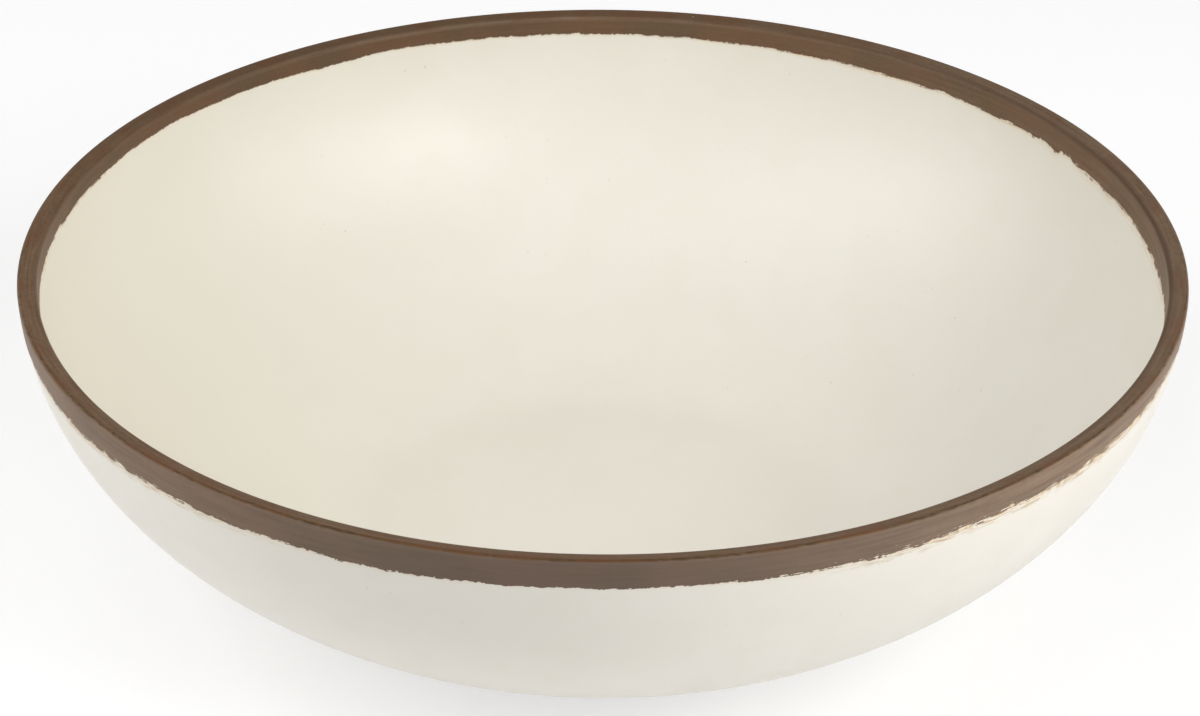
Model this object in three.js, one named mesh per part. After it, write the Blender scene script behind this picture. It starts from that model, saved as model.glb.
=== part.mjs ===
// A wide, low stoneware serving bowl, in five pieces as the potter lays them on: the fired clay
// body with its turned foot ring, the cream glaze inside, the cream glaze outside, the brown glaze
// that rides over the lip, and the cream glaze in the recess under the bowl.
// Lengths are in millimetres. Z is up, the bowl stands on z = 0 and turns about the Z axis.

import * as THREE from 'three';

// Driving dimensions of the finished, glazed bowl
const rimDiameter = 356;
const bowlHeight = 104;
const wallThickness = 6;
// The outer wall is part of an ellipse, whose widest level lies this far above the lip
const wallCurveRise = 3.8;

// Lip
const lipEdgeRadius = 1.1;
const lipFall = 0.8;

// Floor inside the bowl, level in the middle and curved up into the wall
const floorLevel = 11;
const floorCurveRadius = 60;

// Foot ring, and the recess inside it
const footDiameter = 168;
const footHeight = 5.5;
const footWidth = 7;
const footEdgeRadius = 1.2;
const footFilletRadius = 3;
const wellDepth = 4;
const wellFilletRadius = 2;

// Glaze coats
const glazeThickness = 0.7;
const bareFootHeight = 1.6;
const brownBandOutside = 8.2;
const brownBandInside = 7.2;
const glazeClearance = 0.05;

// How finely the curves are stepped
const turnSteps = 64;
const wallSteps = 7;
const bandSteps = 1;
const roundSteps = 2;
const floorCurveSteps = 3;
const solverSteps = 60;

// Values that follow from the sizes above
const rimRadius = rimDiameter / 2;
const footRadius = footDiameter / 2;
const clayDepth = glazeThickness + glazeClearance;
const clayFootRadius = footRadius - clayDepth;
const clayWellRadius = clayFootRadius - footWidth;
const wellRadius = clayWellRadius - clayDepth;

// The ellipse runs through the lip's outer edge and meets the foot ring at the top of its face.
// Its half height and half width follow from those two points and its widest level
const wallCurveCentre = bowlHeight + wallCurveRise;
const wallDrop = wallCurveCentre - footHeight;
const footToRimShare = (footRadius / rimRadius) ** 2;
const wallCurveHeight = Math.sqrt(
  (wallDrop ** 2 - footToRimShare * wallCurveRise ** 2) / (1 - footToRimShare),
);
const wallCurveWidth = rimRadius / Math.sqrt(1 - (wallCurveRise / wallCurveHeight) ** 2);

// A place on the finished surface, with the unit direction that leads into the clay there
function place(radius, height, inRadial, inUpward) {
  return { radius, height, inRadial, inUpward };
}

// The same place, moved into the clay by a depth
function sunk(spot, depth) {
  const radius = spot.radius + depth * spot.inRadial;
  const height = spot.height + depth * spot.inUpward;
  return new THREE.Vector2(radius, height);
}

// The outer wall at an angle of its ellipse, from the widest level down
function outerWall(angle) {
  const across = Math.cos(angle) / wallCurveWidth;
  const down = Math.sin(angle) / wallCurveHeight;
  const size = Math.hypot(across, down);
  const radius = wallCurveWidth * Math.cos(angle);
  const height = wallCurveCentre - wallCurveHeight * Math.sin(angle);
  return place(radius, height, -across / size, down / size);
}

// The inner wall lies straight behind the outer wall, one wall thickness in
function innerWall(angle) {
  const outside = outerWall(angle);
  const behind = sunk(outside, wallThickness);
  return place(behind.x, behind.y, -outside.inRadial, -outside.inUpward);
}

// The wall angle at which a measure, which falls as the angle grows, comes down to a value
function angleWhere(measure, value) {
  let high = 0;
  let low = Math.PI / 2;
  for (let step = 0; step < solverSteps; step += 1) {
    const middle = (high + low) / 2;
    if (measure(middle) > value) {
      high = middle;
    } else {
      low = middle;
    }
  }
  return (high + low) / 2;
}

// Evenly spaced values from one to another, with both ends
function evenly(from, to, steps) {
  const values = [];
  for (let step = 0; step <= steps; step += 1) {
    values.push(from + (to - from) * step / steps);
  }
  return values;
}

// Places round a circle. Clay lies inside a rounded edge and outside a hollow curve
function rounded(centre, radius, fromAngle, toAngle, steps, hollow) {
  const inward = hollow ? 1 : -1;
  return evenly(fromAngle, toAngle, steps).map((angle) => {
    const across = Math.cos(angle);
    const up = Math.sin(angle);
    const at = new THREE.Vector2(centre.x + radius * across, centre.y + radius * up);
    return place(at.x, at.y, inward * across, inward * up);
  });
}

const straightUp = Math.PI / 2;
const straightDown = -Math.PI / 2;

function directionAngle(across, up) {
  return Math.atan2(up, across);
}

// Lip: a narrow top face that falls a little towards the inside, between two rounded edges
const outerEdgeHeight = bowlHeight - lipEdgeRadius;
const outerEdgeAngle = angleWhere((angle) => sunk(outerWall(angle), lipEdgeRadius).y, outerEdgeHeight);
const outerEdgeStart = outerWall(outerEdgeAngle);
const outerEdgeCentre = sunk(outerEdgeStart, lipEdgeRadius);
const innerEdgeHeight = outerEdgeHeight - lipFall;
const innerEdgeAngle = angleWhere((angle) => sunk(innerWall(angle), lipEdgeRadius).y, innerEdgeHeight);
const innerEdgeStart = innerWall(innerEdgeAngle);
const innerEdgeCentre = sunk(innerEdgeStart, lipEdgeRadius);
const lipTopDirection = directionAngle(
  innerEdgeCentre.y - outerEdgeCentre.y,
  outerEdgeCentre.x - innerEdgeCentre.x,
);
const outerEdgeDirection = directionAngle(-outerEdgeStart.inRadial, -outerEdgeStart.inUpward);
const innerEdgeDirection = directionAngle(-innerEdgeStart.inRadial, -innerEdgeStart.inUpward);

// Where the brown glaze ends on each side of the lip
const bandOuterAngle = angleWhere((angle) => outerWall(angle).height, bowlHeight - brownBandOutside);
const bandInnerAngle = angleWhere((angle) => innerWall(angle).height, bowlHeight - brownBandInside);
const creamOuterAngle = angleWhere(
  (angle) => outerWall(angle).height,
  bowlHeight - brownBandOutside - glazeClearance,
);
const creamInnerAngle = angleWhere(
  (angle) => innerWall(angle).height,
  bowlHeight - brownBandInside - glazeClearance,
);

// Foot fillet: it touches the wall above and the straight face of the foot ring
const footFilletCentreRadius = footRadius + footFilletRadius;
const footAngle = angleWhere(
  (angle) => sunk(outerWall(angle), -footFilletRadius).x,
  footFilletCentreRadius,
);
const footFilletStart = outerWall(footAngle);
const footFilletCentre = sunk(footFilletStart, -footFilletRadius);
const footFilletDirection = directionAngle(footFilletStart.inRadial, footFilletStart.inUpward);

// Floor curve: it touches the inner wall and the level floor
const floorCurveCentreHeight = floorLevel + floorCurveRadius;
const floorAngle = angleWhere(
  (angle) => sunk(innerWall(angle), -floorCurveRadius).y,
  floorCurveCentreHeight,
);
const floorCurveStart = innerWall(floorAngle);
const floorCurveCentre = sunk(floorCurveStart, -floorCurveRadius);
const floorCurveDirection = directionAngle(floorCurveStart.inRadial, floorCurveStart.inUpward);

// The finished surface in stretches, from the recess under the bowl round to the floor inside it
const wellFilletCentre = new THREE.Vector2(wellRadius - wellFilletRadius, wellDepth - wellFilletRadius);
const wellSurface = [
  place(0, wellDepth, 0, 1),
  ...rounded(wellFilletCentre, wellFilletRadius, straightUp, 0, roundSteps, true),
  place(wellRadius, bareFootHeight, 1, 0),
];
const outerSurface = [
  place(footRadius, bareFootHeight, -1, 0),
  ...rounded(footFilletCentre, footFilletRadius, Math.PI, footFilletDirection, roundSteps, true),
  ...evenly(footAngle, creamOuterAngle, wallSteps).slice(1).map(outerWall),
];
const lipSurface = [
  ...evenly(bandOuterAngle, outerEdgeAngle, bandSteps).slice(0, -1).map(outerWall),
  ...rounded(outerEdgeCentre, lipEdgeRadius, outerEdgeDirection, straightUp, roundSteps, false),
  ...rounded(innerEdgeCentre, lipEdgeRadius, lipTopDirection, innerEdgeDirection, roundSteps, false),
  ...evenly(innerEdgeAngle, bandInnerAngle, bandSteps).slice(1).map(innerWall),
];
const floorCurve = rounded(
  floorCurveCentre,
  floorCurveRadius,
  floorCurveDirection,
  straightDown,
  floorCurveSteps,
  true,
);
const innerSurface = [
  ...evenly(creamInnerAngle, floorAngle, wallSteps).slice(0, -1).map(innerWall),
  ...floorCurve,
  place(0, floorLevel, 0, -1),
];

// The bare bottom of the foot ring, flat between two rounded edges
function footBottom() {
  const innerEdge = new THREE.Vector2(clayWellRadius + footEdgeRadius, footEdgeRadius);
  const outerEdge = new THREE.Vector2(clayFootRadius - footEdgeRadius, footEdgeRadius);
  return [
    ...rounded(innerEdge, footEdgeRadius, -Math.PI, straightDown, roundSteps, false),
    ...rounded(outerEdge, footEdgeRadius, straightDown, 0, roundSteps, false),
  ];
}

function skin(surface, depth) {
  return surface.map((spot) => sunk(spot, depth));
}

// A solid of revolution. The profile goes round its solid anticlockwise, seen with Z up
function turned(profile) {
  const geometry = new THREE.LatheGeometry(profile, turnSteps);
  geometry.rotateX(Math.PI / 2);
  return geometry;
}

// A coat that reaches the axis: its lower skin outwards, then its upper skin back
function cap(lowerSkin, upperSkin) {
  return turned([...lowerSkin, ...upperSkin]);
}

// A coat round the bowl: along its finished face and back along the clay
function sleeve(surface) {
  const front = skin(surface, 0);
  const back = skin(surface, glazeThickness).reverse();
  return turned([...front, ...back, front[0].clone()]);
}

function bodyGeometry() {
  return turned([
    ...skin(wellSurface.slice(0, -1), clayDepth),
    ...skin(footBottom(), 0),
    ...skin(outerSurface.slice(1, -1), clayDepth),
    ...skin(lipSurface, clayDepth),
    ...skin(innerSurface.slice(1), clayDepth),
  ]);
}

function innerGlazeGeometry() {
  const back = skin(innerSurface, glazeThickness).reverse();
  const front = skin(innerSurface, 0);
  return cap(back, front);
}

function wellGlazeGeometry() {
  const front = skin(wellSurface, 0);
  const back = skin(wellSurface, glazeThickness).reverse();
  return cap(front, back);
}

function finish(name, color, roughness) {
  return new THREE.MeshStandardMaterial({ name, color, roughness, metalness: 0 });
}

function piece(name, geometry, material) {
  const mesh = new THREE.Mesh(geometry, material);
  mesh.name = name;
  return mesh;
}

const bowl = new THREE.Group();
bowl.name = 'serving_bowl';
bowl.add(
  piece('stoneware_body', bodyGeometry(), finish('bare stoneware', 0xc2ad90, 0.9)),
  piece('inner_glaze', innerGlazeGeometry(), finish('cream glaze inside', 0xe6e2d7, 0.42)),
  piece('outer_glaze', sleeve(outerSurface), finish('cream glaze outside', 0xe6e2d7, 0.45)),
  piece('rim_glaze', sleeve(lipSurface), finish('brown glaze', 0x65513f, 0.4)),
  piece('foot_well_glaze', wellGlazeGeometry(), finish('cream glaze underneath', 0xe6e2d7, 0.45)),
);

export default bowl;
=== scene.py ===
import math

import bpy
import numpy as np
from mathutils import Matrix, Vector


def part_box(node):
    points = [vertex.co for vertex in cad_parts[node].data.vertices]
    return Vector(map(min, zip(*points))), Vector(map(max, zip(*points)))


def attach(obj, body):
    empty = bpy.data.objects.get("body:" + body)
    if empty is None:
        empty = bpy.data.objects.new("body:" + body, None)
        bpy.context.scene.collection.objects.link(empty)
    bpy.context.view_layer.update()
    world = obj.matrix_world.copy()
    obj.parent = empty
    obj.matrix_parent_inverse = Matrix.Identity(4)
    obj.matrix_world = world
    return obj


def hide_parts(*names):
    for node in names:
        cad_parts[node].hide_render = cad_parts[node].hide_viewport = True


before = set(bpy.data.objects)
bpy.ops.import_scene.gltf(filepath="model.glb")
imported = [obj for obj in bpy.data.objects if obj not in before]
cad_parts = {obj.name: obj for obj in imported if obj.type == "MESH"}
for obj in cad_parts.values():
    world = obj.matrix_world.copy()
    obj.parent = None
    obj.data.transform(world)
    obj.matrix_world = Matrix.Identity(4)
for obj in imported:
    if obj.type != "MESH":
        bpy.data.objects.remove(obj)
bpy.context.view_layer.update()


# Camera
# The photograph was taken from well back with a long lens, 28 degrees above the lip. The camera is
# set by the middle of the rim, by where that lies in the picture and by how wide the rim is there.
picture_width, picture_height = 1200, 716
rim_centre_pixel = (602.4, 258.3)
rim_radius_pixels = 583.6
rim_radius = 0.178
bowl_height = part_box("rim_glaze")[1].z
camera_distance = 9 * rim_radius
camera_elevation = math.radians(28.0)
camera_roll = math.radians(0.315)
sensor_width = 36.0

rim_centre = Vector((0, 0, bowl_height))
backwards = Vector((0, -math.cos(camera_elevation), math.sin(camera_elevation)))
camera_place = rim_centre + camera_distance * backwards
picture_right = Vector((1, 0, 0))
picture_up = backwards.cross(picture_right)
metres_per_pixel = rim_radius / rim_radius_pixels
aim = (
    rim_centre
    - picture_right * (rim_centre_pixel[0] - picture_width / 2) * metres_per_pixel
    + picture_up * (rim_centre_pixel[1] - picture_height / 2) * metres_per_pixel
)
camera_data = bpy.data.cameras.new("camera")
camera_data.sensor_width = sensor_width
camera_data.lens = sensor_width * camera_distance / (picture_width * metres_per_pixel)
camera_data.clip_start = 0.05
camera_data.clip_end = 50
camera = bpy.data.objects.new("camera", camera_data)
bpy.context.collection.objects.link(camera)
looking = (aim - camera_place).to_track_quat("-Z", "Y").to_matrix().to_4x4()
rolled = Matrix.Rotation(camera_roll, 4, "Z")
camera.matrix_world = Matrix.Translation(camera_place) @ looking @ rolled
bpy.context.scene.camera = camera


# Clay body
# One fired stoneware form: wall, lip, floor and turned foot ring. Glaze covers all of it except
# the bottom of the foot ring, which was wiped clean so that it wouldn't stick to the kiln shelf.
wall_thickness = 0.006
wall_curve_rise = 0.0038
foot_radius = 0.084
foot_height = 0.0055
foot_width = 0.007
foot_edge_radius = 0.0012
foot_fillet_radius = 0.003
well_depth = 0.004
well_fillet_radius = 0.002
lip_edge_radius = 0.0011
lip_fall = 0.0008
floor_level = 0.011
floor_curve_radius = 0.060
glaze_thickness = 0.0007
glaze_clearance = 0.00005
bare_foot_height = 0.0016
# How far below the lip the clay's wall rows stop, and its lip rows end
clay_outer_wall_top, clay_outer_lip_end = 0.008, 0.007
clay_inner_wall_top, clay_inner_lip_end = 0.007, 0.006
clay_columns = 600

clay_depth = glaze_thickness + glaze_clearance
wall_centre = bowl_height + wall_curve_rise
foot_to_rim_share = (foot_radius / rim_radius) ** 2
wall_drop = wall_centre - foot_height
wall_half_height = math.sqrt(
    (wall_drop**2 - foot_to_rim_share * wall_curve_rise**2) / (1 - foot_to_rim_share)
)
wall_half_width = rim_radius / math.sqrt(1 - (wall_curve_rise / wall_half_height) ** 2)


def outer_wall(angle):
    """The outer wall at angles t of its ellipse, from its widest level down. One row for each
    angle: radius a cos t, height c - b sin t, and the unit direction into the clay, radial and
    upward."""
    across = np.cos(angle) / wall_half_width
    down = np.sin(angle) / wall_half_height
    size = np.hypot(across, down)
    radius = wall_half_width * np.cos(angle)
    height = wall_centre - wall_half_height * np.sin(angle)
    return np.stack([radius, height, -across / size, down / size], axis=-1)


def sunk(rows, depth):
    """Rows of the finished surface as radius and height, moved into the clay by a depth."""
    return rows[..., :2] + depth * rows[..., 2:4]


def inner_wall(angle):
    """The inner wall: the outer wall moved in by one wall thickness, with the clay on its far
    side."""
    outside = outer_wall(angle)
    behind = sunk(outside, wall_thickness)
    return np.concatenate([behind, -outside[..., 2:4]], axis=-1)


def angle_where(measure, value):
    """The wall angle at which a measure that falls as the angle grows comes down to a value, found
    by halving the span again and again."""
    halvings = 60
    high, low = 0.0, math.pi / 2
    for _ in range(halvings):
        middle = (high + low) / 2
        if measure(middle) > value:
            high = middle
        else:
            low = middle
    return (high + low) / 2


def outer_angle_at(depth):
    """The wall angle at which the outer wall is a depth below the lip."""
    return angle_where(lambda t: outer_wall(t)[1], bowl_height - depth)


def inner_angle_at(depth):
    """The wall angle at which the inner wall is a depth below the lip."""
    return angle_where(lambda t: inner_wall(t)[1], bowl_height - depth)


def rounded(centre, radius, start, end, count, hollow):
    """Rows round a circle, from one direction to another. The clay lies inside a rounded edge and
    outside a hollow curve."""
    angle = np.linspace(start, end, count)
    out = np.stack([np.cos(angle), np.sin(angle)], axis=-1)
    inward = out if hollow else -out
    return np.concatenate([centre + radius * out, inward], axis=-1)


def straight(radii, heights, in_radial, in_upward):
    """Rows along a straight face, with one direction into the clay."""
    radii, heights = np.broadcast_arrays(np.atleast_1d(radii), np.atleast_1d(heights))
    flat = np.ones(len(radii))
    return np.stack([radii, heights, in_radial * flat, in_upward * flat], axis=-1)


def direction(vector):
    """The angle of a vector, given as its radial and upward parts."""
    return math.atan2(vector[1], vector[0])


outer_edge_angle = angle_where(
    lambda t: sunk(outer_wall(t), lip_edge_radius)[1], bowl_height - lip_edge_radius
)
outer_edge_start = outer_wall(outer_edge_angle)
outer_edge_centre = sunk(outer_edge_start, lip_edge_radius)
inner_edge_angle = angle_where(
    lambda t: sunk(inner_wall(t), lip_edge_radius)[1], bowl_height - lip_fall - lip_edge_radius
)
inner_edge_start = inner_wall(inner_edge_angle)
inner_edge_centre = sunk(inner_edge_start, lip_edge_radius)
lip_run = outer_edge_centre - inner_edge_centre
lip_direction = math.atan2(lip_run[0], -lip_run[1])

foot_fillet_x = foot_radius + foot_fillet_radius
foot_angle = angle_where(lambda t: sunk(outer_wall(t), -foot_fillet_radius)[0], foot_fillet_x)
foot_fillet_start = outer_wall(foot_angle)
foot_fillet_centre = sunk(foot_fillet_start, -foot_fillet_radius)

floor_curve_height = floor_level + floor_curve_radius
floor_angle = angle_where(
    lambda t: sunk(inner_wall(t), -floor_curve_radius)[1], floor_curve_height
)
floor_curve_start = inner_wall(floor_angle)
floor_curve_centre = sunk(floor_curve_start, -floor_curve_radius)

clay_foot_radius = foot_radius - clay_depth
clay_well_radius = clay_foot_radius - foot_width
well_radius = clay_well_radius - clay_depth
well_fillet_centre = np.array([well_radius - well_fillet_radius, well_depth - well_fillet_radius])
foot_glaze_steps = bare_foot_height + np.array([0, 0.00012, 0.00030, 0.00060, 0.0010])


def lip_rows(outer_angle, inner_angle, wall_count, round_count, top_count):
    """The finished surface over the lip, from an angle of the outer wall to one of the inner
    wall."""
    up_outside = outer_wall(np.linspace(outer_angle, outer_edge_angle, wall_count)[:-1])
    outer_start = direction(-outer_edge_start[2:])
    inner_end = direction(-inner_edge_start[2:])
    outer_round = rounded(
        outer_edge_centre, lip_edge_radius, outer_start, lip_direction, round_count, False
    )
    inner_round = rounded(
        inner_edge_centre, lip_edge_radius, lip_direction, inner_end, round_count, False
    )
    share = np.linspace(0, 1, top_count + 2)[1:-1, None]
    top = outer_round[-1] * (1 - share) + inner_round[0] * share
    down_inside = inner_wall(np.linspace(inner_edge_angle, inner_angle, wall_count)[1:])
    return np.concatenate([up_outside, outer_round, top, inner_round, down_inside])


def well_rows(curve_count, floor_count):
    """The finished surface under the bowl, from the axis out to the bare edge of the foot ring."""
    radii = np.linspace(0, well_fillet_centre[0], floor_count)[:-1]
    ceiling = straight(radii, well_depth, 0, 1)
    curve = rounded(well_fillet_centre, well_fillet_radius, math.pi / 2, 0, curve_count, True)
    side = straight(well_radius, bare_foot_height, 1, 0)
    return np.concatenate([ceiling, curve, side])


def outside_rows(top_angle, wall_count, fillet_count):
    """The finished surface outside, from the bare edge of the foot ring up to an angle of the
    wall."""
    side = straight(foot_radius, foot_glaze_steps, -1, 0)
    fillet_end = direction(foot_fillet_start[2:])
    fillet = rounded(
        foot_fillet_centre, foot_fillet_radius, math.pi, fillet_end, fillet_count, True
    )
    wall = outer_wall(np.linspace(foot_angle, top_angle, wall_count)[1:])
    return np.concatenate([side, fillet, wall])


def inside_rows(top_angle, wall_count, curve_count, floor_count):
    """The finished surface inside, from an angle of the wall down to the axis."""
    wall = inner_wall(np.linspace(top_angle, floor_angle, wall_count)[:-1])
    curve_start = direction(floor_curve_start[2:])
    curve = rounded(
        floor_curve_centre, floor_curve_radius, curve_start, -math.pi / 2, curve_count, True
    )
    radii = np.linspace(floor_curve_centre[0], 0, floor_count)[1:]
    return np.concatenate([wall, curve, straight(radii, floor_level, 0, -1)])


def turned(name, rings, columns):
    """A closed surface of turning. rings holds radius and height for each ring, or for each ring
    and column: point = (radius cos q, radius sin q, height). Rings run anticlockwise round the
    solid, seen with Z up. A first and last ring on the axis become one point each, and other
    rings join up in a loop."""
    rings = np.asarray(rings, float)
    if rings.ndim == 2:
        rings = np.repeat(rings[:, None, :], columns, axis=1)
    on_axis = bool(np.allclose(rings[0, :, 0], 0))
    poles = rings[[0, -1], 0, 1] if on_axis else np.empty(0)
    if on_axis:
        rings = rings[1:-1]
    angle = 2 * np.pi * np.arange(columns) / columns
    radius, height = rings[..., 0], rings[..., 1]
    points = np.stack([radius * np.cos(angle), radius * np.sin(angle), height], axis=-1)
    pole_points = np.stack([0 * poles, 0 * poles, poles], axis=-1)
    points = np.concatenate([points.reshape(-1, 3), pole_points])
    number = np.arange(rings.shape[0] * columns).reshape(-1, columns)
    ahead = np.roll(number, -1, axis=1)
    quads = np.stack([number, ahead, np.roll(ahead, -1, axis=0), np.roll(number, -1, axis=0)], -1)
    if not on_axis:
        faces = quads.reshape(-1, 4).tolist()
    else:
        first = number.size + 0 * number[0]
        start = np.stack([first, ahead[0], number[0]], axis=-1)
        end = np.stack([number[-1], ahead[-1], first + 1], axis=-1)
        faces = quads[:-1].reshape(-1, 4).tolist() + start.tolist() + end.tolist()
    mesh = bpy.data.meshes.new(name)
    mesh.from_pydata(points.tolist(), [], faces)
    mesh.shade_smooth()
    piece = bpy.data.objects.new(name, mesh)
    bpy.context.collection.objects.link(piece)
    return piece


def stands_for(piece, node, material):
    """The piece takes the place of a CAD node, rides on the one body and gets its material."""
    piece.data.materials.append(material)
    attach(piece, "root")
    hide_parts(node)


def wire(tree, socket, value):
    """Links a socket to another, or sets it to a value."""
    if isinstance(value, bpy.types.NodeSocket):
        tree.links.new(value, socket)
    else:
        socket.default_value = value


def add(tree, kind, **inputs):
    """A node of a kind, with the given inputs. An underscore in a name stands for a space."""
    made = tree.nodes.new(kind)
    for name, value in inputs.items():
        wire(tree, made.inputs[name.replace("_", " ")], value)
    return made


def arithmetic(tree, operation, first, second=0.0, third=0.0):
    """The result of a Math node of one operation."""
    made = tree.nodes.new("ShaderNodeMath")
    made.operation = operation
    for socket, value in zip(made.inputs, (first, second, third)):
        wire(tree, socket, value)
    return made.outputs[0]


def scaled(tree, value, times, plus):
    """A value times a number, plus a number."""
    return arithmetic(tree, "MULTIPLY_ADD", value, times, plus)


def product(tree, *values):
    """The product of several values."""
    result = values[0]
    for value in values[1:]:
        result = arithmetic(tree, "MULTIPLY", result, value)
    return result


def band(tree, value, low, high):
    """A mask that is 0 below low, 1 above high and smooth between."""
    made = tree.nodes.new("ShaderNodeMapRange")
    made.interpolation_type = "SMOOTHSTEP"
    for name, number in (("Value", value), ("From Min", low), ("From Max", high)):
        wire(tree, made.inputs[name], number)
    return made.outputs["Result"]


def mixed(tree, share, first, second):
    """One colour turning into another by a share from 0 to 1."""
    made = tree.nodes.new("ShaderNodeMix")
    made.data_type = "RGBA"
    for name, value in (("Factor_Float", share), ("A_Color", first), ("B_Color", second)):
        socket = next(s for s in made.inputs if s.identifier == name)
        wire(tree, socket, value)
    return next(s for s in made.outputs if s.identifier == "Result_Color")


def noise(tree, place, scale, detail=2.0, roughness=0.5):
    """Smooth noise from 0 to 1 with about scale marks to the metre. Finer marks lie over them, as
    many times halved as detail says, and roughness is how strong they are."""
    made = add(tree, "ShaderNodeTexNoise", Vector=place, Scale=scale, Detail=detail)
    made.inputs["Roughness"].default_value = roughness
    return made.outputs["Fac"]


def new_material(name, roughness):
    """A material with its node tree and its Principled shader."""
    material = bpy.data.materials.new(name)
    material.use_nodes = True
    shader = material.node_tree.nodes["Principled BSDF"]
    shader.inputs["Roughness"].default_value = roughness
    return material, material.node_tree, shader


def bare_clay_material():
    """Warm buff fired clay with slow clouds, dark grog specks and fine grit, dull to the touch."""
    buff, pale_buff = (0.50, 0.39, 0.26, 1), (0.60, 0.48, 0.34, 1)
    dark_grog = (0.22, 0.15, 0.10, 1)
    material, tree, shader = new_material("bare_stoneware", 0.85)
    place = tree.nodes.new("ShaderNodeTexCoord").outputs["Object"]
    cloud = noise(tree, place, 90.0, 3.0)
    grit = noise(tree, place, 1800.0, 3.0)
    colour = mixed(tree, cloud, buff, pale_buff)
    grog = band(tree, noise(tree, place, 900.0, 1.0), 0.66, 0.72)
    colour = mixed(tree, grog, colour, dark_grog)
    wire(tree, shader.inputs["Base Color"], colour)
    bump = add(tree, "ShaderNodeBump", Strength=0.6, Distance=0.0002, Height=grit)
    wire(tree, shader.inputs["Normal"], bump.outputs["Normal"])
    return material


def foot_round(middle, start, end):
    """Rows round one edge of the foot ring's bottom, about a middle radius."""
    centre = np.array([middle, foot_edge_radius])
    return rounded(centre, foot_edge_radius, start, end, count=9, hollow=False)


foot_bottom = np.concatenate(
    [
        foot_round(clay_well_radius + foot_edge_radius, -math.pi, -math.pi / 2),
        foot_round(clay_foot_radius - foot_edge_radius, -math.pi / 2, 0),
    ]
)
clay_well = well_rows(curve_count=7, floor_count=4)
clay_outside = outside_rows(outer_angle_at(clay_outer_wall_top), wall_count=22, fillet_count=7)
clay_lip = lip_rows(
    outer_angle_at(clay_outer_lip_end),
    inner_angle_at(clay_inner_lip_end),
    wall_count=3,
    round_count=6,
    top_count=1,
)
clay_inside = inside_rows(
    inner_angle_at(clay_inner_wall_top), wall_count=22, curve_count=10, floor_count=6
)
clay_rings = np.concatenate(
    [
        sunk(clay_well[:-1], clay_depth),
        sunk(foot_bottom, 0),
        sunk(clay_outside[len(foot_glaze_steps):], clay_depth),
        sunk(clay_lip, clay_depth),
        sunk(clay_inside, clay_depth),
    ]
)
clay = turned("clay_body", clay_rings, clay_columns)
stands_for(clay, "stoneware_body", bare_clay_material())


# Cream glaze inside
# The potter pours cream glaze into the bowl and swirls it round. It runs up under the brown glaze
# of the lip, and has small iron specks from the clay, faint clouds and a satin skin. It looks
# warmer on one side of the wall and on the floor.
cream_columns = 1200
brown_columns = 2 * cream_columns
# Eight values round the bowl start at its right and go anticlockwise, seen from above
inner_band_depths = 0.001 * np.array([9.3, 8.5, 6.9, 5.9, 7.0, 6.9, 7.2, 8.2])
inner_thinness = np.array([0.28, 0.18, 0.04, 0.0, 0.24, 0.20, 0.14, 0.20])
inner_raggedness = np.array([0.9, 0.8, 0.35, 0.3, 0.5, 0.5, 0.5, 0.8])
inner_warmth = np.array([0.0, 0.0, 0.0, 0.35, 1.0, 0.6, 0.35, 0.25])
floor_warmth = 0.4
warmth_reach = 0.13
inner_cream_top = 0.0030
cream_sink = 0.00012
cream_wave = 0.00011
wave_fade_length = 0.02
# Rows lie close together from the top of the cream down to here, past the edge of the brown
inner_fine_depth = 0.0115
fine_row_count = 7
# The radius of the circle on which brush marks are placed
brush_circle = rim_radius / 40
# Brush strokes: their spacing, half lengths and blunt ends, as angles round the bowl. Then how
# much their depth and slant vary, and how far the brown falls short between them
stroke_spacing = 0.2
stroke_half_turns = (0.12, 0.26)
stroke_end = 0.03
stroke_level, stroke_tilt = 0.00014, 0.0012
between_strokes = -0.0005
# Counts round the bowl and sizes of what makes the edge waver, and of the bites out of it
edge_wavers = ((14, 0.00030), (45, 0.00028), (120, 0.00024))
edge_bites = ((290, 0.00046), (560, 0.00046), (1200, 0.00050))
bitten_stretches = 25


def round_noise(angle, count, rng):
    """Random values at evenly spaced places round the bowl, joined by smooth curves."""
    values = rng.uniform(-1, 1, count)
    at = angle / (2 * np.pi) * count
    low = np.floor(at).astype(int)
    share = at - low
    share = share * share * (3 - 2 * share)
    return values[low % count] * (1 - share) + values[(low + 1) % count] * share


def smooth_round(angle, values):
    """A smooth closed curve through values at evenly spaced places round the bowl. Between two
    places it is the cubic that also follows the place before them and the one after."""
    at = angle / (2 * np.pi) * len(values)
    low = np.floor(at).astype(int)
    share = at - low
    before, first, second, after = (values[(low + step) % len(values)] for step in (-1, 0, 1, 2))
    bend = 3 * (first - second) + after - before
    slope = 2 * before - 5 * first + 4 * second - after
    return first + share / 2 * (second - before + share * (slope + share * bend))


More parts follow.
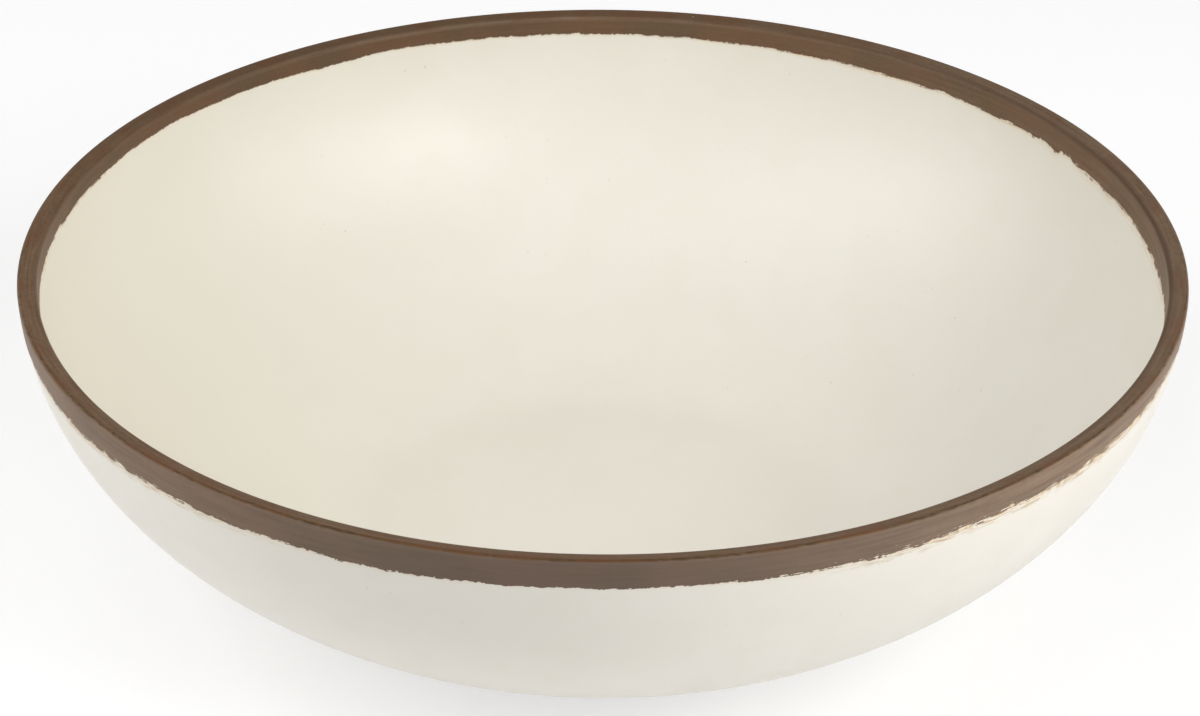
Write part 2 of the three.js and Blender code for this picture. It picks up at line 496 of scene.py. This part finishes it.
def brush_edge(seed, band_depths, raggedness):
    """How far the brown glaze reaches down a wall at each of its columns. It follows the depths
    of the band at eight places round the bowl. Brush strokes overlap, each a little deeper or
    shallower than the last and with a blunt end, and the lower edge wavers, is nibbled in some
    stretches and smoother in others."""
    rng = np.random.default_rng(seed)
    angle = 2 * np.pi * np.arange(brown_columns) / brown_columns
    reach = np.full(brown_columns, between_strokes)
    for middle in np.arange(0, 2 * np.pi, stroke_spacing):
        centre = middle + rng.uniform(-stroke_spacing / 2, stroke_spacing / 2)
        half = rng.uniform(*stroke_half_turns)
        level = rng.normal(0, stroke_level)
        tilt = rng.normal(0, stroke_tilt)
        turn = (angle - centre + np.pi) % (2 * np.pi) - np.pi
        end = np.clip((half - np.abs(turn)) / stroke_end, 0, 1)
        stroke = (level + tilt * turn - between_strokes) * np.sqrt(end) + between_strokes
        reach = np.maximum(reach, stroke)
    for count, size in edge_wavers:
        reach += size * round_noise(angle, count, rng)
    nibbled = smooth_round(angle, raggedness)
    nibbled *= np.clip(0.85 + 0.5 * round_noise(angle, bitten_stretches, rng), 0.4, 1.3)
    for count, size in edge_bites:
        bite = round_noise(angle, count, rng)
        reach += nibbled * size * bite * np.abs(bite)
    return smooth_round(angle, band_depths) + reach - reach.mean()


def swell(angle, run, seed, height):
    """Slow hand-made unevenness of a glazed face: the mean of long waves round and across the
    bowl, each cos(n q + p) cos(m s + r) at angle q and distance s, times a height."""
    wave_count = 14
    rng = np.random.default_rng(seed)
    total = np.zeros(np.broadcast(angle, run).shape)
    for _ in range(wave_count):
        round_waves = rng.integers(1, 9)
        across_waves = rng.uniform(8, 60)
        phase = rng.uniform(0, 2 * np.pi, 2)
        total += np.cos(round_waves * angle + phase[0]) * np.cos(across_waves * run + phase[1])
    return height * total / wave_count


def path_length(rows):
    """Distance along a profile from its first row to each row."""
    steps = np.hypot(*np.diff(rows[:, :2], axis=0).T)
    return np.concatenate([[0], np.cumsum(steps)])


def keep_values(piece, name, values):
    """Keeps one value at each point of a piece, for its material to read."""
    attribute = piece.data.attributes.new(name, "FLOAT", "POINT")
    attribute.data.foreach_set("value", np.ascontiguousarray(values, np.float32).ravel())


def keep_brush_way(piece, across, columns):
    """Keeps at each point a place for brush marks: on a small circle, so that marks run long round
    the bowl and close without a seam, and at its distance across the stroke."""
    angle = 2 * np.pi * np.arange(columns) / columns
    across = np.broadcast_to(across, (len(across), columns))
    circle = np.broadcast_to(angle, across.shape)
    way = np.stack([brush_circle * np.cos(circle), brush_circle * np.sin(circle), across], -1)
    way = way.reshape(-1, 3)[: len(piece.data.vertices)]
    spare = len(piece.data.vertices) - len(way)
    way = np.concatenate([way, np.zeros((spare, 3))])
    attribute = piece.data.attributes.new("brush_way", "FLOAT_VECTOR", "POINT")
    attribute.data.foreach_set("vector", np.ascontiguousarray(way, np.float32).ravel())


def group_of(name, inputs, outputs):
    """A new node group with named sockets, and its own input and output nodes."""
    group = bpy.data.node_groups.new(name, "ShaderNodeTree")
    kinds = {"colour": "NodeSocketColor", "value": "NodeSocketFloat", "vector": "NodeSocketVector"}
    for names, way in ((inputs, "INPUT"), (outputs, "OUTPUT")):
        for socket, kind in names.items():
            group.interface.new_socket(socket, in_out=way, socket_type=kinds[kind])
    given = group.nodes.new("NodeGroupInput").outputs
    result = group.nodes.new("NodeGroupOutput").inputs
    return group, given, result


def place_group(tree, group, **inputs):
    """Puts a node group in a tree, with its inputs, and gives its outputs."""
    node = tree.nodes.new("ShaderNodeGroup")
    node.node_tree = group
    for name, value in inputs.items():
        wire(tree, node.inputs[name.replace("_", " ")], value)
    return node.outputs


def kept(tree, name, output):
    """A value or place that a piece keeps at its points."""
    node = tree.nodes.new("ShaderNodeAttribute")
    node.attribute_name = name
    return node.outputs[output]


def stretched(tree, place, along):
    """A brush-mark place with its marks made shorter or longer round the bowl."""
    node = add(tree, "ShaderNodeMapping", Vector=place, Scale=(along, along, 1))
    return node.outputs["Vector"]


def cream_look():
    """Node group of the cream glaze: colour with clouds and iron specks, roughness, and the height
    of its skin."""
    plain, clouded = (0.782, 0.748, 0.672, 1), (0.804, 0.774, 0.700, 1)
    drifted, iron = (0.776, 0.738, 0.656, 1), (0.36, 0.33, 0.27, 1)
    # Scale, size and share of the cells that hold a speck
    speck_kinds = ((150.0, 0.080, 0.30), (260.0, 0.070, 0.35))
    group, given, result = group_of(
        "cream_glaze_look",
        {"Place": "vector", "Cloud Strength": "value", "Speck Strength": "value"},
        {"Color": "colour", "Roughness": "value", "Height": "value"},
    )
    place = given["Place"]
    cloud = noise(group, place, 16.0, 2.0)
    drift = noise(group, place, 55.0, 3.0)
    cloudy = product(group, band(group, cloud, 0.35, 0.65), given["Cloud Strength"])
    drifting = product(group, band(group, drift, 0.42, 0.70), given["Cloud Strength"])
    colour = mixed(group, cloudy, plain, clouded)
    colour = mixed(group, drifting, colour, drifted)
    specks = 0.0
    for scale, reach, share in speck_kinds:
        cells = add(group, "ShaderNodeTexVoronoi", Vector=place, Scale=scale)
        chance = add(group, "ShaderNodeSeparateColor", Color=cells.outputs["Color"])
        chosen = arithmetic(group, "LESS_THAN", chance.outputs[0], share)
        depth = scaled(group, chance.outputs[1], times=0.8, plus=0.2)
        near = band(group, cells.outputs["Distance"], reach, reach * 0.3)
        specks = arithmetic(group, "MAXIMUM", specks, product(group, chosen, near, depth))
    inked = product(group, specks, given["Speck Strength"])
    wire(group, result["Color"], mixed(group, inked, colour, iron))
    wire(group, result["Roughness"], scaled(group, drift, times=0.10, plus=0.36))
    peel = noise(group, place, 420.0, 2.0)
    lumps = noise(group, place, 70.0, 1.0)
    skin = scaled(group, lumps, times=2.0, plus=product(group, peel, 0.35))
    wire(group, result["Height"], arithmetic(group, "SUBTRACT", skin, product(group, specks, 0.3)))
    return group


def stain_look():
    """Node group of what the brown brush leaves on cream: a warm tint just past the brown edge,
    and dry brush hairs. Both are stronger where the brown is thin. Below is the distance past
    the brown edge."""
    warm_stain, hair_brown = (0.79, 0.65, 0.46, 1), (0.54, 0.38, 0.21, 1)
    group, given, result = group_of(
        "brown_stain_look",
        {"Below": "value", "Way": "vector", "Cream": "colour", "Thin": "value"},
        {"Color": "colour"},
    )
    below, thin = given["Below"], given["Thin"]
    patches = band(group, noise(group, given["Way"], 2000.0, 1.0), 0.48, 0.66)
    softness = scaled(group, patches, times=0.30, plus=0.16)
    soft = product(group, band(group, below, 0.0010, 0.0), softness)
    strong = product(group, band(group, below, 0.0020, 0.0), thin, 0.5)
    tint = arithmetic(group, "MAXIMUM", soft, strong)
    warm = mixed(group, tint, given["Cream"], warm_stain)
    long_way = stretched(group, given["Way"], 1.6)
    hairs = band(group, noise(group, long_way, 3000.0, 2.0, 0.6), 0.50, 0.56)
    reach = band(group, below, 0.0026, 0.0006)
    brushed = product(group, hairs, reach, band(group, thin, 0.15, 0.45), 0.9)
    wire(group, result["Color"], mixed(group, brushed, warm, hair_brown))
    return group


cream_group = cream_look()
stain_group = stain_look()


def cream_material(name, brushed):
    """Satin cream glaze, warmer where the piece keeps a warmth. Where brown was brushed on its top
    edge, the piece keeps its brush marks, how thin the brown is, and its distance below the brown
    edge at each point."""
    warm_cream = (0.800, 0.757, 0.632, 1)
    material, tree, shader = new_material(name, 0.4)
    place = tree.nodes.new("ShaderNodeTexCoord").outputs["Object"]
    look = place_group(tree, cream_group, Place=place, Cloud_Strength=0.6, Speck_Strength=0.5)
    warmer_share = kept(tree, "warmth", "Fac")
    colour = mixed(tree, warmer_share, look["Color"], warm_cream)
    if brushed:
        below = kept(tree, "below_brown", "Fac")
        way = kept(tree, "brush_way", "Vector")
        thin = kept(tree, "thin", "Fac")
        colour = place_group(
            tree, stain_group, Below=below, Way=way, Cream=colour, Thin=thin
        )["Color"]
    wire(tree, shader.inputs["Base Color"], colour)
    wire(tree, shader.inputs["Roughness"], look["Roughness"])
    bump = add(tree, "ShaderNodeBump", Strength=0.5, Distance=0.00006, Height=look["Height"])
    wire(tree, shader.inputs["Normal"], bump.outputs["Normal"])
    return material


cream_turning = 2 * np.pi * np.arange(cream_columns) / cream_columns
inner_brown_edge = brush_edge(5, inner_band_depths, inner_raggedness)
inner_fine_angle = inner_angle_at(inner_fine_depth)
inner_top_angle = inner_angle_at(inner_cream_top)
inner_band_angles = np.linspace(inner_top_angle, inner_fine_angle, fine_row_count)[:-1]
inner_lower_rows = inside_rows(inner_fine_angle, wall_count=30, curve_count=14, floor_count=9)
inner_rows = np.concatenate([inner_wall(inner_band_angles), inner_lower_rows])
inner_run = path_length(inner_rows)
inner_fade = np.clip(inner_run / wave_fade_length, 0, 1)
inner_fade *= np.clip((inner_run[-1] - inner_run) / wave_fade_length, 0, 1)
inner_swell = swell(cream_turning, inner_run[:, None], seed=21, height=cream_wave)
inner_wave = inner_fade[:, None] * inner_swell
inner_front = sunk(inner_rows[:, None], (cream_sink - inner_wave)[..., None])
# The back lies on the clay, where every fourth row is enough
inner_back_rows = inner_rows[np.r_[len(inner_rows) - 1 : 6 : -4, 5, 0]]
inner_back = np.repeat(sunk(inner_back_rows, glaze_thickness)[:, None], cream_columns, axis=1)
inside = turned("cream_inside", np.concatenate([inner_back, inner_front]), cream_columns)
# The piece's two points on the axis come after its rings, so their values are added last
inner_ring_rows = np.concatenate([inner_back_rows, inner_rows])[1:-1]
inner_depth = bowl_height - inner_ring_rows[:, 1]
inner_below = inner_depth[:, None] - inner_brown_edge[::2]
keep_values(inside, "below_brown", np.append(inner_below, [bowl_height, bowl_height]))
keep_brush_way(inside, inner_depth[:, None], cream_columns)
inner_thin = smooth_round(cream_turning, inner_thinness) + 0 * inner_below
keep_values(inside, "thin", np.append(inner_thin, [0, 0]))
wall_share = np.clip(inner_ring_rows[:, 0] / warmth_reach, 0, 1)[:, None] ** 2
wall_warmth = wall_share * smooth_round(cream_turning, inner_warmth)
warmth = wall_warmth + (1 - wall_share) * floor_warmth
keep_values(inside, "warmth", np.append(warmth, [floor_warmth, floor_warmth]))
stands_for(inside, "inner_glaze", cream_material("cream_glaze_inside", True))


# Cream glaze outside
# The same cream glaze, dipped up to the lip and wiped back at the foot ring, where its lower edge
# is rounded and stands proud of the bare clay. The brown glaze is brushed over its top edge.
outer_band_depths = 0.001 * np.array([5.9, 7.0, 8.0, 8.3, 8.4, 10.5, 10.0, 9.4])
# How thin the brown is outside; its rises at the right and left are painted sheen
outer_thinness_and_sheen = np.array([0.58, 0.2, 0.05, 0.2, 0.40, 0.35, 0.02, 0.59])
outer_raggedness = np.array([1.0, 0.8, 0.8, 0.8, 0.9, 1.0, 0.7, 1.1])
outer_cream_top = 0.0036
outer_fine_depth = 0.0150
foot_line_wave = 0.0010
foot_edge_drop = np.array([0.00042, 0.00018, 0.00006, 0.00001, 0.0])
outer_brown_edge = brush_edge(12, outer_band_depths, outer_raggedness)
outer_fine_angle = outer_angle_at(outer_fine_depth)
outer_top_angle = outer_angle_at(outer_cream_top)
outer_band_angles = np.linspace(outer_fine_angle, outer_top_angle, fine_row_count)[1:]
outer_lower_rows = outside_rows(outer_fine_angle, wall_count=32, fillet_count=8)
outer_rows = np.concatenate([outer_lower_rows, outer_wall(outer_band_angles)])
outer_run = path_length(outer_rows)
outer_fade = np.clip((outer_run[-1] - outer_run) / wave_fade_length, 0, 1)
outer_swell = swell(cream_turning, outer_run[:, None], seed=34, height=cream_wave)
outer_wave = outer_fade[:, None] * outer_swell
outer_depths = cream_sink - outer_wave
outer_depths[: len(foot_edge_drop)] += foot_edge_drop[:, None]
outer_front = sunk(outer_rows[:, None], outer_depths[..., None])
foot_line = swell(cream_turning, 0.0, seed=8, height=foot_line_wave)
outer_front[: len(foot_edge_drop), :, 1] += foot_line
outer_back_rows = outer_rows[np.r_[len(outer_rows) - 1 : 4 : -4, 0]]
outer_back = np.repeat(sunk(outer_back_rows, glaze_thickness)[:, None], cream_columns, axis=1)
outer_back[-1, :, 1] += foot_line
outside = turned("cream_outside", np.concatenate([outer_front, outer_back]), cream_columns)
outer_depth = bowl_height - np.concatenate([outer_rows, outer_back_rows])[:, 1]
keep_values(outside, "below_brown", outer_depth[:, None] - outer_brown_edge[::2])
keep_brush_way(outside, outer_depth[:, None], cream_columns)
outer_thin = smooth_round(cream_turning, outer_thinness_and_sheen)
keep_values(outside, "thin", outer_thin + 0 * outer_depth[:, None])
stands_for(outside, "outer_glaze", cream_material("cream_glaze_outside", True))


# Brown glaze over the lip
# Iron-brown glaze brushed round the lip on a turning wheel. It is darkest on the flat of the lip,
# lighter outside, partly through painted sheen, and rubbed along the lip's outer edge. Along its
# inner edge it has painted shade and a painted highlight. It ends in a ragged line on the cream
# on each side.
brown_edge_run = np.array([0.0, 0.00018, 0.00045, 0.0009])
brown_edge_lift = np.array([0.00004, 0.00009, 0.00012, 0.00012])
brown_lap_depth = 0.00010
# Half the length over which the coat's back steps from its lap on the cream down to the clay
lap_step = 0.0001
# How far down the wall, outside and inside, the coat's fixed middle rows and the guide reach
middle_outside, middle_inside = 0.0028, 0.0026
guide_outside, guide_inside = 0.0135, 0.0125
# A rounded edge's corner is where it has dropped by this share of its radius
corner_share = 0.3
outer_corner_width, inner_corner_width = 0.0006, 0.0010
rubbed_past_corner, rubbed_width = 0.0004, 0.0008
# Where the painted shade and highlight lie before the inner corner, and how wide they are
shade_before_corner, shade_width = 0.0005, 0.0008
# Along the inner edge of the lip, painted shade above 0 and a painted highlight below 0
inner_edge_shading = np.array([0.80, 0.30, -0.32, -0.24, 0.10, 0.0, 0.0, 0.20])
lip_tones = np.array([0.50, 0.90, 0.75, 0.65, 0.0, 0.05, 0.15, 0.40])
# Colours from one end of their range to the other, and the colours of marks on them.
# The outer browns hold painted sheen: part of their lightness is the white table's reflection.
brown_outside = ((0.152, 0.112, 0.086, 1), (0.168, 0.117, 0.090, 1))
brown_inside = ((0.122, 0.080, 0.048, 1), (0.146, 0.084, 0.050, 1))
brown_on_top = ((0.074, 0.031, 0.004, 1), (0.098, 0.060, 0.033, 1))
brown_fringe = ((0.79, 0.74, 0.64, 1), (0.74, 0.58, 0.36, 1))
light_streak, light_spot = (0.185, 0.120, 0.075, 1), (0.185, 0.115, 0.070, 1)
# Dark brush hairs, then a painted shade colour for the lip's inner edge
dark_hair, shaded_line_brown = (0.080, 0.047, 0.025, 1), (0.060, 0.033, 0.019, 1)
dark_nick = (0.055, 0.031, 0.016, 1)
# Next, a lighter brown for thin glaze that is also painted sheen, and the pinhole colour
thin_and_sheen_brown, bare_pinhole = (0.32, 0.225, 0.15, 1), (0.45, 0.35, 0.26, 1)
ruddy_brown, rubbed_brown = (0.110, 0.034, 0.012, 1), (0.140, 0.060, 0.028, 1)


def brown_look():
    """Node group of the brown glaze: brush streaks and mottling, a darker and warmer lip top with
    ruddy patches, a rubbed and nicked line along its outer edge, painted shade along its inner
    edge, a lighter colour where it is thin that also serves as painted sheen and highlight, cream
    and caramel where it runs out to nothing, a few light pinholes, and its skin."""
    group, given, result = group_of(
        "brown_glaze_look",
        {
            "Way": "vector",
            "Place": "vector",
            "Edge Distance": "value",
            "Lip Edge": "value",
            "Lip Top": "value",
            "Lip Tone": "value",
            "Inner Line": "value",
            "Inside": "value",
            "Thin": "value",
        },
        {"Color": "colour", "Roughness": "value", "Height": "value"},
    )
    place, thin = given["Place"], given["Thin"]
    long_way = stretched(group, given["Way"], 0.5)
    streaks = noise(group, long_way, 1500.0, 3.0, 0.6)
    hairs = noise(group, long_way, 3800.0, 2.0, 0.5)
    mottle = noise(group, place, 650.0, 3.0, 0.6)
    strokes = noise(group, stretched(group, given["Way"], 2.0), 900.0, 2.0)
    cloudy = band(group, noise(group, place, 45.0, 2.0), 0.35, 0.65)
    outer_brown = mixed(group, cloudy, *brown_outside)
    inner_brown = mixed(group, cloudy, *brown_inside)
    top_brown = mixed(group, given["Lip Tone"], *brown_on_top)
    colour = mixed(group, given["Inside"], outer_brown, inner_brown)
    colour = mixed(group, given["Lip Top"], colour, top_brown)
    lighter = product(group, band(group, streaks, 0.48, 0.70), 0.12)
    colour = mixed(group, lighter, colour, light_streak)
    darker = product(group, band(group, hairs, 0.52, 0.70), 0.20)
    colour = mixed(group, darker, colour, dark_hair)
    spotted = product(group, band(group, mottle, 0.46, 0.66), 0.12)
    colour = mixed(group, spotted, colour, light_spot)
    # Lighter brown where the glaze is thin, which also paints sheen and highlight
    patchy = scaled(group, strokes, times=0.8, plus=product(group, mottle, 0.2))
    thin_and_sheen_share = product(group, thin, band(group, patchy, 0.05, 0.80), 1.25)
    colour = mixed(group, thin_and_sheen_share, colour, thin_and_sheen_brown)
    red = band(group, noise(group, place, 60.0, 2.0), 0.46, 0.60)
    ruddy = product(group, given["Lip Top"], red, 0.28)
    colour = mixed(group, ruddy, colour, ruddy_brown)
    rubbed = product(group, given["Lip Edge"], band(group, streaks, 0.32, 0.60), red, 0.45)
    colour = mixed(group, rubbed, colour, rubbed_brown)
    short_way = stretched(group, given["Way"], 7.0)
    nicks = band(group, noise(group, short_way, 2000.0, 2.0), 0.46, 0.58)
    unrubbed = arithmetic(group, "SUBTRACT", 1.0, red)
    nicked = product(group, given["Lip Edge"], given["Lip Edge"], nicks, unrubbed, 0.75)
    colour = mixed(group, nicked, colour, dark_nick)
    # Painted shade along the inner edge of the lip
    colour = mixed(group, given["Inner Line"], colour, shaded_line_brown)
    teeth = scaled(group, noise(group, place, 1000.0, 2.0), times=0.0016, plus=-0.00075)
    blunt = scaled(group, given["Inside"], times=-0.45, plus=1.0)
    teeth = product(group, teeth, blunt)
    fine_way = stretched(group, given["Way"], 3.0)
    wisps = scaled(group, noise(group, fine_way, 2600.0, 2.0, 0.6), times=4.0, plus=-1.5)
    start = scaled(group, product(group, thin, wisps), times=0.0034, plus=teeth)
    past = arithmetic(group, "SUBTRACT", given["Edge Distance"], start)
    softness = scaled(group, given["Inside"], times=0.0003, plus=0.00022)
    full = band(group, past, 0.0, softness)
    runny = product(group, band(group, noise(group, place, 420.0, 1.0), 0.36, 0.56), thin, 1.3)
    singed = product(group, band(group, noise(group, place, 70.0, 2.0), 0.46, 0.60), 0.4)
    runny = arithmetic(group, "MAXIMUM", runny, singed)
    fringe = mixed(group, runny, *brown_fringe)
    colour = mixed(group, full, fringe, colour)
    cells = add(group, "ShaderNodeTexVoronoi", Vector=place, Scale=170.0)
    chance = add(group, "ShaderNodeSeparateColor", Color=cells.outputs["Color"])
    chosen = arithmetic(group, "LESS_THAN", chance.outputs[0], 0.12)
    pinhole = product(group, chosen, band(group, cells.outputs["Distance"], 0.07, 0.02), 0.6)
    wire(group, result["Color"], mixed(group, pinhole, colour, bare_pinhole))
    wire(group, result["Roughness"], scaled(group, streaks, times=0.20, plus=0.34))
    skin = scaled(group, hairs, times=0.5, plus=streaks)
    wire(group, result["Height"], scaled(group, mottle, times=0.8, plus=skin))
    return group


def brown_material():
    """Satin brown glaze, which reads what the piece keeps at its points."""
    material, tree, shader = new_material("brown_glaze", 0.4)
    shader.inputs["Specular IOR Level"].default_value = 0.05
    place = tree.nodes.new("ShaderNodeTexCoord").outputs["Object"]
    look = place_group(
        tree,
        brown_look(),
        Place=place,
        Way=kept(tree, "brush_way", "Vector"),
        Edge_Distance=kept(tree, "edge_distance", "Fac"),
        Lip_Edge=kept(tree, "lip_edge", "Fac"),
        Lip_Top=kept(tree, "lip_top", "Fac"),
        Lip_Tone=kept(tree, "lip_tone", "Fac"),
        Inner_Line=kept(tree, "inner_line", "Fac"),
        Inside=kept(tree, "inside", "Fac"),
        Thin=kept(tree, "thin", "Fac"),
    )
    wire(tree, shader.inputs["Base Color"], look["Color"])
    wire(tree, shader.inputs["Roughness"], look["Roughness"])
    bump = add(tree, "ShaderNodeBump", Strength=0.5, Distance=0.00008, Height=look["Height"])
    wire(tree, shader.inputs["Normal"], bump.outputs["Normal"])
    return material


guide_rows = lip_rows(
    outer_angle_at(guide_outside),
    inner_angle_at(guide_inside),
    wall_count=60,
    round_count=24,
    top_count=12,
)
guide_run = path_length(guide_rows)
guide_depth = bowl_height - guide_rows[:, 1]
crest = int(np.argmin(guide_depth))


def outer_run_at(depth):
    """Distance along the lip's profile at which its outer side is a depth below the lip."""
    return np.interp(depth, guide_depth[:crest][::-1], guide_run[:crest][::-1])


def inner_run_at(depth):
    """Distance along the lip's profile at which its inner side is a depth below the lip."""
    return np.interp(depth, guide_depth[crest:], guide_run[crest:])


def past_corner(runs, corner, width):
    """0 before a corner of the profile and 1 past it, rising evenly over a width."""
    return np.clip((runs - corner) / width + 0.5, 0, 1)


def line_along(runs, middle, width):
    """A soft line along the profile: exp(-((s - middle) / width)^2) at distance s."""
    return np.exp(-(((runs - middle) / width) ** 2))


brown_start = outer_run_at(outer_brown_edge)
brown_end = inner_run_at(inner_brown_edge)
middle_rows = lip_rows(
    outer_angle_at(middle_outside),
    inner_angle_at(middle_inside),
    wall_count=4,
    round_count=7,
    top_count=3,
)
middle_run = outer_run_at(middle_outside) + path_length(middle_rows)
flat = np.zeros(brown_columns)
runs = np.concatenate(
    [
        brown_start + brown_edge_run[:, None],
        [(brown_start + brown_edge_run[-1] + middle_run[0]) / 2],
        middle_run[:, None] + flat,
        [(brown_end - brown_edge_run[-1] + middle_run[-1]) / 2],
        brown_end - brown_edge_run[::-1, None],
    ]
)
# Behind the band the coat is thin where it laps over the cream, and thick where it lies on clay
inner_cream_run = inner_run_at(inner_cream_top)
outer_cream_run = outer_run_at(outer_cream_top)
# On the clay the back has one row at each rounded edge, this many rows in from the middle's ends
round_row = 7
back_runs = np.stack(
    [
        brown_end,
        inner_cream_run + lap_step + flat,
        inner_cream_run - lap_step + flat,
        middle_run[-1 - round_row] + flat,
        middle_run[round_row] + flat,
        outer_cream_run + lap_step + flat,
        outer_cream_run - lap_step + flat,
        brown_start,
    ]
)
back_depths = np.full(len(back_runs), glaze_thickness)
back_depths[[0, 1, -2, -1]] = brown_lap_depth
all_runs = np.concatenate([runs, back_runs])
edge_rows = len(brown_edge_lift)
lifts = np.full(len(runs), brown_edge_lift[-1])
lifts[:edge_rows] = brown_edge_lift
lifts[-edge_rows:] = brown_edge_lift[::-1]
all_depths = np.concatenate([cream_sink - lifts, back_depths])
all_rows = np.stack([np.interp(all_runs, guide_run, guide_rows[:, k]) for k in range(4)], axis=-1)
brown = turned("brown_lip", sunk(all_rows, all_depths[:, None, None]), brown_columns)
keep_values(brown, "edge_distance", np.minimum(all_runs - brown_start, brown_end - all_runs))
brown_turning = 2 * np.pi * np.arange(brown_columns) / brown_columns
outer_corner = float(outer_run_at(lip_edge_radius * corner_share))
inner_corner = float(inner_run_at(lip_fall + lip_edge_radius * corner_share))
past_outer = past_corner(all_runs, outer_corner, outer_corner_width)
past_inner = past_corner(all_runs, inner_corner, inner_corner_width)
rubbed_line = line_along(all_runs, outer_corner + rubbed_past_corner, rubbed_width)
keep_values(brown, "lip_edge", rubbed_line)
keep_values(brown, "lip_top", past_outer - past_inner)
keep_values(brown, "lip_tone", smooth_round(brown_turning, lip_tones) + 0 * past_inner)
keep_values(brown, "inside", past_inner)
# A line along the inner edge of the lip: painted shade where it is above 0
inner_line = line_along(all_runs, inner_corner - shade_before_corner, shade_width)
inner_line *= smooth_round(brown_turning, inner_edge_shading)
keep_values(brown, "inner_line", np.maximum(inner_line, 0))
# How thin the brown is; outside it also holds painted sheen at the right and left
brown_thin_and_sheen = (1 - past_outer) * smooth_round(brown_turning, outer_thinness_and_sheen)
brown_thin_and_sheen += past_outer * smooth_round(brown_turning, inner_thinness)
# Below 0 the inner line is a painted highlight, shown as thinner, lighter brown
brown_thin_and_sheen += np.maximum(-inner_line, 0)
keep_values(brown, "thin", brown_thin_and_sheen)
keep_brush_way(brown, all_runs, brown_columns)
stands_for(brown, "rim_glaze", brown_material())


# Cream glaze in the foot well
# The recess inside the foot ring is glazed too, and wiped back from the bare bottom of the ring.
well_columns = 720
well_front_rows = well_rows(curve_count=9, floor_count=14)
well_front = sunk(well_front_rows, cream_sink)
well_back = sunk(well_front_rows[::-1], glaze_thickness)
well = turned("cream_underside", np.concatenate([well_front, well_back]), well_columns)
stands_for(well, "foot_well_glaze", cream_material("cream_glaze_underside", False))


# Table and studio light
# A plain white table, in a white room that only the camera and reflections see. Seven soft white
# lamps light the bowl: high and low ones on the left and on the right, one at the right side, one
# overhead and a weak one behind. The table keeps a soft shadow of the bowl.
half_table = 4.0
table_drop = 0.0002
lamp_distance = 1.6
white = (1, 1, 1, 1)
table_white = (0.93, 0.93, 0.93, 1)
# The camera sees the table as a grey, which takes the shadow, with a glow that brings it to white
table_grey = (0.45, 0.45, 0.45, 1)
table_glow = 0.62
table_mesh = bpy.data.meshes.new("table")
table_corners = [(-1, -1), (1, -1), (1, 1), (-1, 1)]
table_mesh.from_pydata(
    [(half_table * x, half_table * y, -table_drop) for x, y in table_corners], [], [(0, 1, 2, 3)]
)
table = bpy.data.objects.new("table", table_mesh)
bpy.context.collection.objects.link(table)


def background_rays(tree):
    """1 for rays from the camera, and for rays that glaze reflects or lets through, which see the
    white background. 0 for the rays that light the bowl."""
    path = tree.nodes.new("ShaderNodeLightPath").outputs
    seen = arithmetic(tree, "MAXIMUM", path["Is Camera Ray"], path["Is Glossy Ray"])
    return arithmetic(tree, "MAXIMUM", seen, path["Is Transmission Ray"])


def table_material():
    """A white table that lights the bowl from below, and shows white with a soft shadow."""
    material = bpy.data.materials.new("white_table")
    material.use_nodes = True
    tree = material.node_tree
    tree.nodes.remove(tree.nodes["Principled BSDF"])
    diffuse = add(tree, "ShaderNodeBsdfDiffuse", Color=table_white)
    seen = add(tree, "ShaderNodeBsdfDiffuse", Color=table_grey)
    glow = add(tree, "ShaderNodeEmission", Color=white, Strength=table_glow)
    shown = tree.nodes.new("ShaderNodeAddShader")
    wire(tree, shown.inputs[0], seen.outputs[0])
    wire(tree, shown.inputs[1], glow.outputs[0])
    choice = tree.nodes.new("ShaderNodeMixShader")
    wire(tree, choice.inputs[0], background_rays(tree))
    wire(tree, choice.inputs[1], diffuse.outputs[0])
    wire(tree, choice.inputs[2], shown.outputs[0])
    wire(tree, tree.nodes["Material Output"].inputs["Surface"], choice.outputs[0])
    return material


table.data.materials.append(table_material())


def soft_lamp(name, turn, rise, width, height, power):
    """A soft white lamp, a rectangle that faces the middle of the rim. turn is degrees to the
    right of the camera, rise degrees above the rim, width and height metres, and power watts."""
    data = bpy.data.lights.new(name, "AREA")
    data.shape = "RECTANGLE"
    data.size, data.size_y = width, height
    data.energy = power
    lamp = bpy.data.objects.new(name, data)
    bpy.context.collection.objects.link(lamp)
    across, up = math.radians(turn), math.radians(rise)
    towards = Vector(
        (math.sin(across) * math.cos(up), -math.cos(across) * math.cos(up), math.sin(up))
    )
    lamp.location = rim_centre + lamp_distance * towards
    lamp.rotation_mode = "QUATERNION"
    lamp.rotation_quaternion = towards.to_track_quat("Z", "Y")


soft_lamp("left_lamp", -75, 40, 1.0, 1.0, 11.4)
soft_lamp("right_lamp", 43, 36, 0.6, 0.6, 9.5)
soft_lamp("right_side_lamp", 75, 32, 1.0, 0.8, 5.9)
soft_lamp("low_right_lamp", 62, 12, 1.2, 0.8, 6.5)
soft_lamp("low_left_lamp", -80, 12, 1.2, 0.8, 5.1)
soft_lamp("overhead_lamp", -25, 70, 1.2, 1.1, 6.3)
soft_lamp("back_lamp", 180, 35, 1.2, 0.8, 3.0)

world = bpy.data.worlds.new("white_room")
world.use_nodes = True
bpy.context.scene.world = world
sky = world.node_tree
background = sky.nodes["Background"]
background.inputs["Color"].default_value = white
wire(sky, background.inputs["Strength"], background_rays(sky))

bpy.context.scene.view_settings.view_transform = "Standard"
